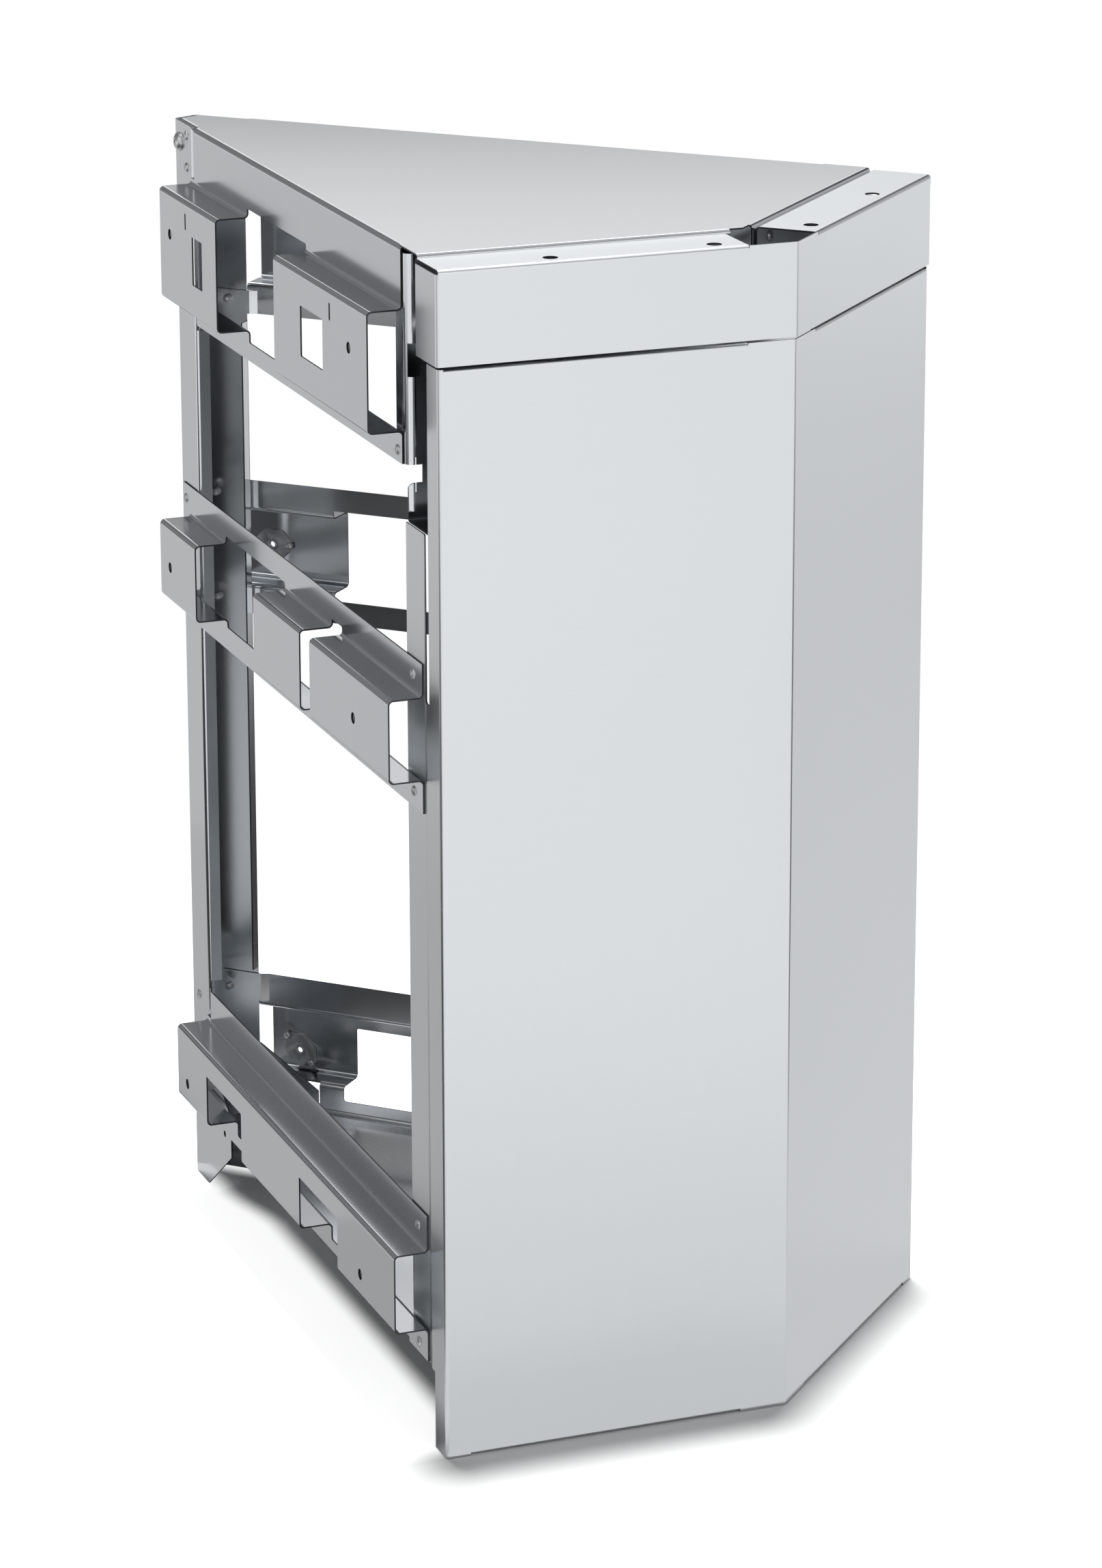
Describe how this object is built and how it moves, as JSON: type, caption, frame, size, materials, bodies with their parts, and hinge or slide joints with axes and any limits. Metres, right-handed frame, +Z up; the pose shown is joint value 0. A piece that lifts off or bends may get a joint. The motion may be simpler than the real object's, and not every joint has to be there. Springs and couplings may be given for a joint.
{
  "type": "corner cabinet",
  "caption": "Kite-shaped corner cabinet frame of folded stainless sheet, turning an outdoor kitchen run, with a folded front, open sides on hat rails and a rear post.",
  "frame": {"origin": "on the ground, in the middle of the outer box", "axes": "+Z up, +Y from the folded fronts towards the rear post, +X to the right seen from the front"},
  "size_m": [0.5056, 0.6664, 0.878],
  "materials": {
    "stainless_front": "fine horizontal brushing",
    "stainless_frame": "mill finish, lightly brushed",
    "rivet_steel": "satin",
    "screw_steel": "satin",
    "nut_plate_steel": "matt",
    "pin_steel": "satin"
  },
  "bodies": {
    "cabinet": {"front_band": "stainless_front", "front_panel": "stainless_front", "top_panel": "stainless_frame", "front_crossmember": "stainless_frame", "bottom_panel": "stainless_frame", "apex_post": "stainless_frame", "middle_rail_left": "stainless_frame", "middle_rail_right": "stainless_frame", "top_rivets_left": "rivet_steel", "top_rivets_right": "rivet_steel", "middle_rivets_left": "rivet_steel", "middle_rivets_right": "rivet_steel", "bottom_rivets_left": "rivet_steel", "bottom_rivets_right": "rivet_steel", "panel_rivets_left": "rivet_steel", "panel_rivets_right": "rivet_steel", "apex_screw_left": "screw_steel", "apex_screw_right": "screw_steel", "apex_nut_left": "screw_steel", "apex_nut_right": "screw_steel", "band_screws_left": "screw_steel", "band_screws_right": "screw_steel", "upper_plate_pins_left": "pin_steel", "upper_plate_pins_right": "pin_steel", "middle_plate_pins_left": "pin_steel", "middle_plate_pins_right": "pin_steel", "lower_plate_pins_left": "pin_steel", "lower_plate_pins_right": "pin_steel"},
    "nut_plate_upper_front_left": {"nut_plate_upper_front_left": "nut_plate_steel"},
    "nut_plate_upper_front_right": {"nut_plate_upper_front_right": "nut_plate_steel"},
    "nut_plate_upper_rear_left": {"nut_plate_upper_rear_left": "nut_plate_steel"},
    "nut_plate_upper_rear_right": {"nut_plate_upper_rear_right": "nut_plate_steel"},
    "nut_plate_middle_front_left": {"nut_plate_middle_front_left": "nut_plate_steel"},
    "nut_plate_middle_front_right": {"nut_plate_middle_front_right": "nut_plate_steel"},
    "nut_plate_middle_rear_left": {"nut_plate_middle_rear_left": "nut_plate_steel"},
    "nut_plate_middle_rear_right": {"nut_plate_middle_rear_right": "nut_plate_steel"},
    "nut_plate_lower_front_left": {"nut_plate_lower_front_left": "nut_plate_steel"},
    "nut_plate_lower_front_right": {"nut_plate_lower_front_right": "nut_plate_steel"},
    "nut_plate_lower_rear_left": {"nut_plate_lower_rear_left": "nut_plate_steel"},
    "nut_plate_lower_rear_right": {"nut_plate_lower_rear_right": "nut_plate_steel"}
  },
  "joints": [
    {"name": "upper_front_left_float", "type": "slide", "parent": "cabinet", "child": "nut_plate_upper_front_left", "axis": [0.3827, 0.9239, 0], "range_m": [-0.0008, 0.0008]},
    {"name": "upper_front_right_float", "type": "slide", "parent": "cabinet", "child": "nut_plate_upper_front_right", "axis": [-0.3827, 0.9239, 0], "range_m": [-0.0008, 0.0008]},
    {"name": "upper_rear_left_float", "type": "slide", "parent": "cabinet", "child": "nut_plate_upper_rear_left", "axis": [0.3827, 0.9239, 0], "range_m": [-0.0008, 0.0008]},
    {"name": "upper_rear_right_float", "type": "slide", "parent": "cabinet", "child": "nut_plate_upper_rear_right", "axis": [-0.3827, 0.9239, 0], "range_m": [-0.0008, 0.0008]},
    {"name": "middle_front_left_float", "type": "slide", "parent": "cabinet", "child": "nut_plate_middle_front_left", "axis": [0.3827, 0.9239, 0], "range_m": [-0.0008, 0.0008]},
    {"name": "middle_front_right_float", "type": "slide", "parent": "cabinet", "child": "nut_plate_middle_front_right", "axis": [-0.3827, 0.9239, 0], "range_m": [-0.0008, 0.0008]},
    {"name": "middle_rear_left_float", "type": "slide", "parent": "cabinet", "child": "nut_plate_middle_rear_left", "axis": [0.3827, 0.9239, 0], "range_m": [-0.0008, 0.0008]},
    {"name": "middle_rear_right_float", "type": "slide", "parent": "cabinet", "child": "nut_plate_middle_rear_right", "axis": [-0.3827, 0.9239, 0], "range_m": [-0.0008, 0.0008]},
    {"name": "lower_front_left_float", "type": "slide", "parent": "cabinet", "child": "nut_plate_lower_front_left", "axis": [0.2706, 0.6533, 0.7071], "range_m": [0, 0.0016]},
    {"name": "lower_front_right_float", "type": "slide", "parent": "cabinet", "child": "nut_plate_lower_front_right", "axis": [-0.2706, 0.6533, 0.7071], "range_m": [0, 0.0016]},
    {"name": "lower_rear_left_float", "type": "slide", "parent": "cabinet", "child": "nut_plate_lower_rear_left", "axis": [0.2706, 0.6533, 0.7071], "range_m": [0, 0.0016]},
    {"name": "lower_rear_right_float", "type": "slide", "parent": "cabinet", "child": "nut_plate_lower_rear_right", "axis": [-0.2706, 0.6533, 0.7071], "range_m": [0, 0.0016]}
  ]
}
